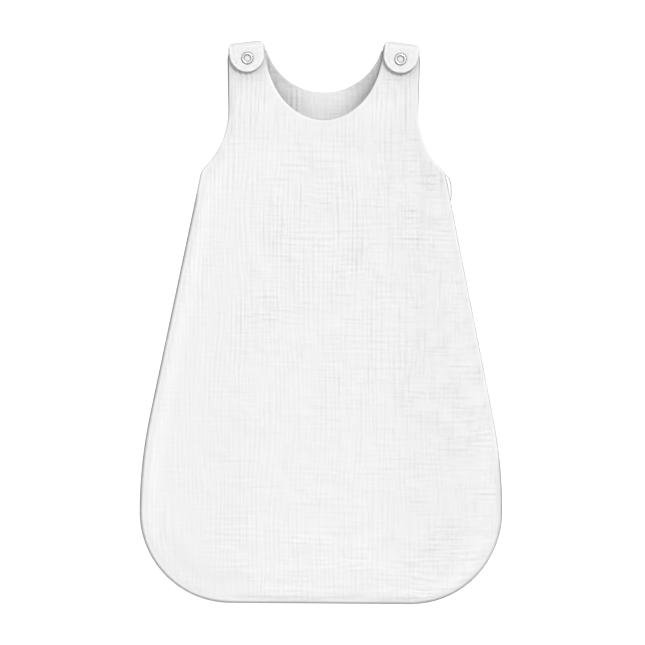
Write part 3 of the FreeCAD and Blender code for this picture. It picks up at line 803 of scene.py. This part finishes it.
front_panel = shell("front_panel", muslin, front_loop, FRONT_CELL, front_top,
                    lambda x, y: lining_top(x, y) + LAYER_GAP, front_seam, front_shape, EDGE_ROLL)
places = vertices_mm(front_panel.data)
rim_inside = distance_inside(places[:, :2], front_loop)
set_value(front_panel, "shade", front_tone(places, rim_inside))
set_value(front_panel, "crumple", crumpling(places[:, 0], places[:, 1]) * ramp(rim_inside, 0, 8))
fit(front_panel, "muslin", *FRONT_NODES)


def lining_shape(points, inside):
    """The fine face of the front lining, built upside down, so its crinkle points down."""
    points[:, 2] -= 0.5 * ramp(inside, 0, 6) * crinkle(points[:, 0], points[:, 1], 1.0, 0.5, 301)
    return points


front_lining = shell("front_lining_cloth", lining_cloth, moved_in(front_loop, 2.2), INNER_LINING_CELL,
                     front_under, lining_top, lambda x, y: front_under(x, y) + 0.5, lining_shape,
                     1.2, flipped=True)
fit(front_lining, "lining", "front_lining")


# ---- back panel ----

HEM_TO_NECK = 600.0       # from the hem up to the lowest point of the front neck
NECK_H = box_mm("front_outer")[0][1] + HEM_TO_NECK
NECK_MIDDLE = NECK_H + 111.0              # the back neck runs round this height
NECK_RADIUS = 75.0
TAB_START = FOLD_RADIUS + 2.0             # the back strap turns into the tab this far below the fold
BACK_THICKNESS = 1.4
BACK_LEDGE = 0.7          # the back's edge shows this far past the front's, except at the neck
OPEN_LEDGE = 1.1          # and this far at the plain side's armhole and down the zip side
RING_SHARE = 0.94         # the bead's radius as a share of the CAD ring's, whose rim is buried in the cloth
HOLE_SHARE = 0.58         # the ring's hole as a share of the bead's radius
FOLD_PINCH = 1.0          # the tab is narrower round its fold, so its top corners look round
TAB_PUFF = 1.2            # the padded tab's round end reaches a little past its cloth


def beside_neck(loop):
    """1 on the stretch of a loop that runs round the back neck, 0 elsewhere."""
    away = np.hypot(loop[:, 0], loop[:, 1] - NECK_MIDDLE) - NECK_RADIUS
    return 1.0 - ramp(away, 4, 14)


def back_ledge(loop):
    """How far the back's edge shows past the front's, round a loop. Nothing at the neck and on the straps."""
    x, y = loop.T
    zip_side = ramp(x, 60, 120) * ramp(y, -290, -230) * ramp(y, 230, 180)
    armhole = ramp(y, 160, 220) * (x < 0)
    ledge = BACK_LEDGE + (OPEN_LEDGE - BACK_LEDGE) * np.maximum(zip_side, armhole)
    below = np.minimum(below_fold(loop, "left"), below_fold(loop, "right"))
    return ledge * (1.0 - beside_neck(loop)) * ramp(below - TAB_START, 0, 8)


back_loop = outline("back_lining", TAB_START)
back_loop = resample(back_loop + back_ledge(back_loop)[:, None] * outward_normals(back_loop), 1.0)


def back_shape(points, inside):
    """The outer face of the back lies on the floor, so its crinkle only dents it upwards."""
    dent = 0.6 - crinkle(points[:, 0], points[:, 1], 1.0, 1.0, 501)
    points[:, 2] += 0.5 * ramp(inside, 0, 6) * np.maximum(dent, 0.0)
    return points


back_panel = shell("back_panel", muslin, back_loop, BACK_CELL, flat(0.0), flat(BACK_THICKNESS),
                   flat(0.75 * BACK_INSIDE_Z), back_shape, 1.8, flipped=True)
fit(back_panel, "muslin", *BACK_NODES)


def back_lining_shape(points, inside):
    """The inner face of the back. Where the neck shows it, it sinks behind its hem and falls in pleats."""
    x, y = points[:, 0], points[:, 1]
    neck = ramp(y - NECK_H, -30, 30) * ramp(inside, 0, 3)
    side = ramp(np.abs(x), 14, 48)
    pleats = (0.5 + 3.6 * side) * creases(y, x, 6.6, 77, 2.0)
    height = (0.6 + 0.5 * neck) * crinkle(x, y, 1.0, 1.0, 701) + neck * (pleats - 0.2 - 1.3 * side)
    points[:, 2] += ramp(inside, 0, 3) * height
    points[:, 2] = np.maximum(points[:, 2], BACK_THICKNESS + 0.4)
    return points


def lining_painted_shade(points):
    """Painted shade on the back lining: darker at the sides of the neck opening, most on the zip side and
    beside the front.
    """
    x, y = points[:, 0], points[:, 1]
    near_front = np.exp(-distance_inside(points[:, :2], front_loop, 60.0) / 10.0)
    # Painted shade, deepest beside the front's edge.
    painted_neck_shade = np.where(x > 0, 0.28 + 0.3 * near_front, 0.2 + 0.22 * near_front)
    painted_neck_shade *= ramp(np.abs(x), 8, 63) * ramp(y - NECK_H, -40, 10)
    painted_neck_shade *= 1.0 - 0.5 * ramp(y - NECK_H, 45, 95)
    return 1.05 - painted_neck_shade


back_lining_loop = moved_in(back_loop, 1.0)
back_lining_loop += 0.8 * beside_neck(back_lining_loop)[:, None] * outward_normals(back_lining_loop)
back_lining = shell("back_lining_cloth", lining_cloth, resample(back_lining_loop, 1.0), LINING_CELL,
                    flat(BACK_INSIDE_Z - 0.4), flat(BACK_THICKNESS + LAYER_GAP),
                    flat(0.5 * (BACK_THICKNESS + BACK_INSIDE_Z)), back_lining_shape, 1.2)
set_value(back_lining, "shade", lining_painted_shade(vertices_mm(back_lining.data)))
fit(back_lining, "lining", "back_lining")


# ---- shoulder tabs ----

def tab_outline(half_width, length, flare_end, flares):
    """The unrolled tab: as wide as the back strap at its start, narrow at the fold, with a round end.

    flares are how much wider the strap is than the tab, at negative and at positive x.
    """
    straight = length - half_width
    sides = []
    for sign, flare in zip((1.0, -1.0), (flares[1], flares[0])):
        runs = np.linspace(0.0, straight, 60)
        pinch = FOLD_PINCH * bell(runs, flare_end, 5)
        extra = flare * (1.0 - ramp(runs, 0, flare_end)) - pinch
        sides.append(np.column_stack([sign * (half_width + extra), runs]))
    angles = np.linspace(0.0, math.pi, 49)[1:-1]
    tip = np.column_stack([half_width * np.cos(angles), straight + half_width * np.sin(angles)])
    loop = anticlockwise(np.vstack([sides[0], tip, sides[1][::-1]]))
    return resample(fair(resample(loop, 1.0), 3), 0.5)


def strap_flares(side, half_width):
    """How much wider the back strap is than the tab where the tab starts, neck side first."""
    origin, outward, _ = FOLDS[side]
    same_side = back_loop[:, 0] * (1 if side == "right" else -1) > 0
    at_end = same_side & (np.abs(below_fold(back_loop, side) - TAB_START) < 1.5)
    across = (back_loop[at_end] - origin) @ outward
    return -across.min() - half_width - 0.6, across.max() - half_width


def build_tab(side):
    """The padded tab: from the back strap, round the fold and over the front, in one piece."""
    underside = box_mm(f"tab_lining_{side}")[0][2]
    thickness = 2 * FOLD_RADIUS - underside
    origin, outward, down = FOLDS[side]
    corners = vertices_mm(frame["nodes"][f"tab_outer_{side}"].data)[:, :2]
    across = (corners - origin) @ outward
    reach = ((corners - origin) @ down).max()
    half_width = 0.5 * np.ptp(across)
    fold_run = math.pi * FOLD_RADIUS
    start_run = TAB_START - FOLD_RADIUS
    length = start_run + fold_run + reach + TAB_PUFF - FOLD_RADIUS
    loop = tab_outline(half_width, length, start_run + 0.5 * fold_run, strap_flares(side, half_width))
    ring_box = np.array(box_mm(f"snap_ring_{side}"))
    snap = ring_box.mean(0)[:2] - origin
    snap_x, snap_run = snap @ outward, start_run + fold_run + snap @ down - FOLD_RADIUS
    ring_radius = RING_SHARE * 0.5 * np.ptp(ring_box, axis=0)[0]
    hole_radius = HOLE_SHARE * ring_radius

    def shape(points, inside):
        """Puckers the cloth round the snap, sinks it beside the ring and puffs the padding."""
        x, run = points[:, 0], points[:, 1]
        from_snap = np.hypot(x - snap_x, run - snap_run)
        from_ring = from_snap - ring_radius
        angle = np.arctan2(run - snap_run, x - snap_x)
        outside = ramp(from_ring, 0, 1.2)
        pinch = outside * bell(from_ring, 0, 4.5)
        rays = 0.2 * pinch * np.sin(angle * 15.0 + 2.0 * noise(x / 3.0, run / 3.0, 17))
        moat = -0.7 * bell(from_ring, 0, 0.8)
        well = -0.6 * bell(from_snap, hole_radius, 0.8)
        dish = -0.5 * bell(np.maximum(from_ring, 0), 0, 5)
        button = 0.35 * ramp(hole_radius - from_snap, 0, 3)
        puff = 0.35 * ramp(inside, 0, 6) - 0.3 * bell(inside, 2.4, 1.2)
        crumple = 0.1 * noise(x / 3.2, run / 4.4, 23) + 0.08 * noise(x / 1.8, run / 2.2, 29)
        points[:, 2] += outside * puff + dish + moat + well + button + rays
        points[:, 2] += ramp(inside, 0, 2) * outside * crumple
        return points

    made = shell(f"tab_{side}", tab_cloth, loop, TAB_CELL, flat(0.0), flat(-thickness),
                 flat(-0.5 * thickness), shape, 1.6)
    x, run, _ = vertices_mm(made.data).T
    # Painted highlight: the tab is lighter along its hem; the mottle is random tone.
    hem = ramp(distance_inside(np.column_stack([x, run]), loop), 4, 1.5)
    mottle = 0.05 * noise(x / 1.7, run / 1.7, 83) + 0.015 * noise(x / 3.9, run / 3.9, 89)
    set_value(made, "shade", 1.0 + 0.06 * hem + mottle)
    bend_tab(made, side, start_run, thickness)
    return made, underside


def bend_tab(made, side, start_run, thickness):
    """Rolls the flat tab round the fold. Its outer face follows the fold's outer radius."""
    origin, outward, down = FOLDS[side]
    across, run, depth = vertices_mm(made.data).T
    fold_run = math.pi * FOLD_RADIUS
    turn = np.clip((run - start_run) / fold_run, 0.0, 1.0) * math.pi
    before = np.minimum(run - start_run, 0.0)
    after = np.maximum(run - start_run - fold_run, 0.0)
    back_depth = BACK_INSIDE_Z / thickness
    share = ramp(turn, 0, math.pi)
    depth = depth * (back_depth * (1 - share) + share)
    radius = FOLD_RADIUS + depth
    below = FOLD_RADIUS - radius * np.sin(turn) - before + after
    z = FOLD_RADIUS - radius * np.cos(turn)
    place = origin + across[:, None] * outward + below[:, None] * down
    moved = np.column_stack([place, z]) * MM
    made.data.vertices.foreach_set("co", moved.ravel())
    if side == "right":
        made.data.flip_normals()
    made.data.update()


def build_ring(side):
    """The snap's open ring: a stamped bead with a bright crest, and painted shade on its steeper flanks."""
    low, high = box_mm(f"snap_ring_{side}")
    radius = RING_SHARE * 0.5 * (high[0] - low[0])
    middle = 0.5 * (low + high)
    base, crest = 2 * FOLD_RADIUS - 0.5, high[2]
    profile = [(1.0, base), (0.985, base + 0.6), (0.955, crest - 0.45), (0.925, crest - 0.14),
               (0.89, crest - 0.02), (0.84, crest), (0.73, crest), (0.68, crest - 0.03), (0.65, crest - 0.2),
               (0.62, crest - 0.6), (0.6, base + 0.5), (0.59, base)]
    steps, rows = 96, len(profile)
    angles = 2 * np.pi * np.arange(steps) / steps
    points = [np.column_stack([middle[0] + radius * share * np.cos(angles),
                               middle[1] + radius * share * np.sin(angles), np.full(steps, z)])
              for share, z in profile]
    number = np.arange(rows * steps).reshape(rows, steps)
    ahead = np.roll(number, -1, axis=1)
    faces = np.dstack([number, ahead, np.roll(ahead, -1, axis=0), np.roll(number, -1, axis=0)])
    ring = make_object(f"snap_ring_{side}_bead", np.vstack(points), faces.reshape(-1, 4), ring_metal)
    fit(ring, "snap_metal", f"snap_ring_{side}", body=f"shoulder_tab_{side}")


for side in FOLDS:
    tab, under = build_tab(side)
    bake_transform(tab)
    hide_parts(f"tab_outer_{side}", f"tab_stiffener_{side}", f"tab_lining_{side}")
    build_ring(side)


# ---- zip side ----

TAPE_THICKNESS = 0.6
UNDERLAP_THICKNESS = 1.0
UNDERLAP_TAIL = 62.0      # the underlap runs this far past the lower end of the zip
DOWN_ZIP = np.array(joint("zip_slide")["axis"][:2])
OUT_OF_BAG = np.array([-DOWN_ZIP[1], DOWN_ZIP[0]])
tape_plan = vertices_mm(frame["nodes"]["zip_tape_front"].data)[:, :2]
tape_start, tape_end = (tape_plan @ DOWN_ZIP).min(), (tape_plan @ DOWN_ZIP).max()
tape_out = (tape_plan @ OUT_OF_BAG).mean()
underlap_plan = vertices_mm(frame["nodes"]["zip_underlap"].data)[:, :2]
underlap_out = (underlap_plan @ OUT_OF_BAG).mean() - tape_out


def zip_place(run, out):
    """A plan point from a distance along the zip and a distance out from the tapes' middle."""
    return np.outer(run, DOWN_ZIP) + np.outer(out + tape_out, OUT_OF_BAG)


def strip(name, node, slot, material, end, out, thickness, low, high, columns, rows, ripple, seed):
    """A thin closed band that stands on edge along the zip. low and high give heights over the plan."""
    runs = np.linspace(tape_start, end, columns)
    layers = []
    for side_sign in (1.0, -1.0):
        for row in range(rows):
            share = row / (rows - 1)
            wave = ripple * noise(runs / 21.0, np.full(columns, share * 1.5), seed)
            edge = 1.0 - 0.55 * (abs(2 * share - 1) ** 8)
            plan = zip_place(runs, out + wave + side_sign * 0.5 * thickness * edge)
            z = low(*plan.T) * (1 - share) + high(*plan.T) * share
            layers.append(np.column_stack([plan, z]))
    order = list(range(rows)) + list(range(2 * rows - 1, rows - 1, -1))
    faces = [(a * columns + i, b * columns + i, b * columns + i + 1, a * columns + i + 1)
             for a, b in zip(order, order[1:] + order[:1]) for i in range(columns - 1)]
    faces += [[a * columns for a in reversed(order)], [a * columns + columns - 1 for a in order]]
    fit(make_object(name, np.vstack(layers), faces, material), slot, node)


def under_front(x, y):
    """How high a strip beside the zip may stand: just under the front lining."""
    return front_under(x, y) - 0.5


tape_low = [corner[2] for corner in box_mm("zip_tape_back")]
strip("zip_tape_upper", "zip_tape_front", "zip_tape", tape_cloth, tape_end, 0.0, TAPE_THICKNESS,
      flat(box_mm("zip_tape_front")[0][2]), under_front, 240, 14, 0.05, 31)
strip("zip_tape_lower", "zip_tape_back", "zip_tape", tape_cloth, tape_end, 0.0, TAPE_THICKNESS,
      flat(tape_low[0]), flat(tape_low[1]), 240, 10, 0.05, 37)
strip("zip_underlap_cloth", "zip_underlap", "lining", lining_cloth, tape_end + UNDERLAP_TAIL, underlap_out,
      UNDERLAP_THICKNESS, flat(BACK_INSIDE_Z), under_front, 300, 16, 0.5, 41)


def softened(name, node, slot, material, voxel, rounds, wrinkle, seed):
    """A soft piece from its CAD solid: remeshed, rounded and crinkled."""
    rough = placed("rough", frame["nodes"][node].data.copy())
    remesh = rough.modifiers.new("remesh", "REMESH")
    remesh.mode = "VOXEL"
    remesh.voxel_size = voxel * MM
    relaxed = rough.modifiers.new("smooth", "SMOOTH")
    relaxed.factor = 0.5
    relaxed.iterations = rounds
    mesh = bpy.data.meshes.new_from_object(rough.evaluated_get(bpy.context.evaluated_depsgraph_get()))
    bpy.data.objects.remove(rough)
    co = vertices_mm(mesh)
    bumps = wrinkle * noise(co[:, 1] / 5.0 + co[:, 2] / 9.0, co[:, 0] / 7.0 + co[:, 2] / 5.0, seed)
    moved = co + vertex_values(mesh, "normal") * bumps[:, None]
    mesh.vertices.foreach_set("co", (moved * MM).ravel())
    mesh.update()
    fit(clothed(name, mesh, material), slot, node)


softened("armpit_guard_cloth", "armpit_guard", "muslin", muslin, 0.45, 3, 0.15, 51)
softened("seam_binding_cloth", "seam_binding", "binding", binding_cloth, 0.5, 2, 0.08, 57)
softened("care_label_cloth", "care_label", "label_cloth", label_cloth, 0.3, 2, 0.05, 59)


# ---- stage, light and camera ----

def build_floor():
    """Paper that glows faintly, so that it stays pale under the bag's soft shadow."""
    size, z = 6.0, -0.0006
    mesh = bpy.data.meshes.new("floor")
    mesh.from_pydata([(-size, -size, z), (size, -size, z), (size, size, z), (-size, size, z)],
                     [], [(0, 1, 2, 3)])
    floor = placed("floor", mesh)
    material = bpy.data.materials.new("floor_paper")
    graph = Graph(material)
    paper = graph.add("BsdfDiffuse", {"Color": (0.42, 0.42, 0.42, 1.0)})
    glow = graph.add("Emission", {"Color": WHITE, "Strength": 0.9})
    mixed = graph.add("AddShader", {0: paper.outputs[0], 1: glow.outputs[0]})
    graph.add("OutputMaterial", {"Surface": mixed.outputs[0]})
    mesh.materials.append(material)
    floor.visible_diffuse = False
    floor.visible_glossy = False


def distant_light(name, towards, power, spread):
    """A far soft light; towards points from the bag to the light."""
    light = bpy.data.lights.new(name, "SUN")
    light.energy = power
    light.angle = math.radians(spread)
    placed(name, light).rotation_euler = Vector(towards).to_track_quat("Z", "Y").to_euler()


build_floor()
distant_light("key", KEY_TOWARDS, KEY_POWER, 12.0)
distant_light("fill", FILL_TOWARDS, FILL_POWER, 60.0)

world = bpy.data.worlds.new("studio")
scene.world = world
sky = Graph(world)
upward = sky.add("SeparateXYZ", {0: sky.add("TexCoord").outputs["Generated"]}).outputs["Z"]
horizon = sky.ranged(upward, -0.05, 0.05, GROUND_POWER, SKY_POWER)
seen = sky.add("LightPath").outputs["Is Camera Ray"]
backdrop = sky.add("Mix", {"Factor": seen, "A": horizon, "B": 1.0}).outputs["Result"]
background = sky.add("Background", {"Color": WHITE, "Strength": backdrop})
sky.add("OutputWorld", {"Surface": background.outputs[0]})

camera_data = bpy.data.cameras.new("camera")
camera = placed("camera", camera_data)
camera_data.lens = 200.0
camera_data.clip_end = 50.0
distance = FRAME_WIDTH * camera_data.lens / camera_data.sensor_width
camera.location = (*CAMERA_SHIFT, distance + SEAM_Z * MM)
camera.rotation_euler = (0.0, 0.0, math.radians(CAMERA_TURN))
bpy.context.scene.camera = camera
scene.view_settings.view_transform = "Standard"
scene.view_settings.look = "None"
